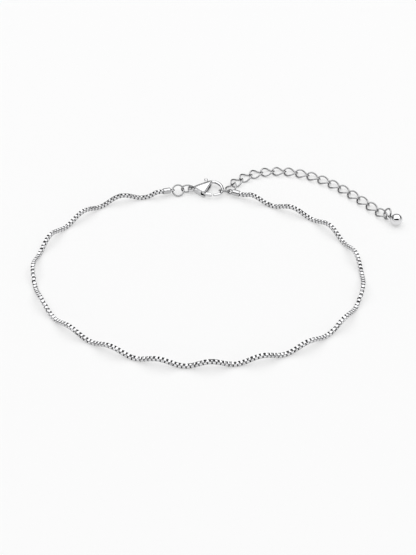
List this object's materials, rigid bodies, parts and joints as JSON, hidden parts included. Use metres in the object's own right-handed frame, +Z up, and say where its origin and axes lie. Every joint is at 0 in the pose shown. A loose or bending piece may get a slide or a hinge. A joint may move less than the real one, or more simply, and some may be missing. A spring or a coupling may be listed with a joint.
{
  "type": "chain bracelet",
  "caption": "Fine wave-set box chain bracelet with a lobster clasp and a curb-link extension chain ending in a small ball.",
  "frame": {"origin": "middle of the bracelet's outline on the surface it lies on", "axes": "+X along its longer side, towards the ball end; +Y from the plain front of the loop towards the clasp; +Z up"},
  "size_m": [0.0784, 0.0586, 0.0026],
  "materials": {
    "wave_chain": "polished",
    "end_cap_left": "polished",
    "end_cap_right": "polished",
    "jump_ring_large": "polished",
    "jump_ring_small": "polished",
    "clasp_body": "polished",
    "clasp_lever": "polished",
    "jump_ring_clasp": "polished",
    "extension_link_01": "polished",
    "extension_link_02": "polished",
    "extension_link_03": "polished",
    "extension_link_04": "polished",
    "extension_link_05": "polished",
    "extension_link_06": "polished",
    "extension_link_07": "polished",
    "extension_link_08": "polished",
    "extension_link_09": "polished",
    "extension_link_10": "polished",
    "extension_link_11": "polished",
    "extension_link_12": "polished",
    "extension_link_13": "polished",
    "extension_link_14": "polished",
    "extension_link_15": "polished",
    "extension_link_16": "polished",
    "jump_ring_drop": "polished",
    "ball_drop": "polished"
  },
  "bodies": {
    "bracelet": {"wave_chain": "wave_chain", "end_cap_left": "end_cap_left", "end_cap_right": "end_cap_right", "jump_ring_large": "jump_ring_large", "jump_ring_small": "jump_ring_small", "clasp_body": "clasp_body", "jump_ring_clasp": "jump_ring_clasp", "extension_link_01": "extension_link_01", "extension_link_02": "extension_link_02", "extension_link_03": "extension_link_03", "extension_link_04": "extension_link_04", "extension_link_05": "extension_link_05", "extension_link_06": "extension_link_06", "extension_link_07": "extension_link_07", "extension_link_08": "extension_link_08", "extension_link_09": "extension_link_09", "extension_link_10": "extension_link_10", "extension_link_11": "extension_link_11", "extension_link_12": "extension_link_12", "extension_link_13": "extension_link_13", "extension_link_14": "extension_link_14", "extension_link_15": "extension_link_15", "extension_link_16": "extension_link_16", "jump_ring_drop": "jump_ring_drop", "ball_drop": "ball_drop"},
    "lever": {"clasp_lever": "clasp_lever"}
  },
  "joints": [
    {"name": "lever_hinge", "type": "hinge", "parent": "bracelet", "child": "lever", "pos_m": [-0.00391, 0.02042, 0.001], "axis": [0, 0, 1], "range_deg": [0, 20], "stiffness_Nm_per_rad": 0.0002, "springref_deg": -5.73}
  ]
}
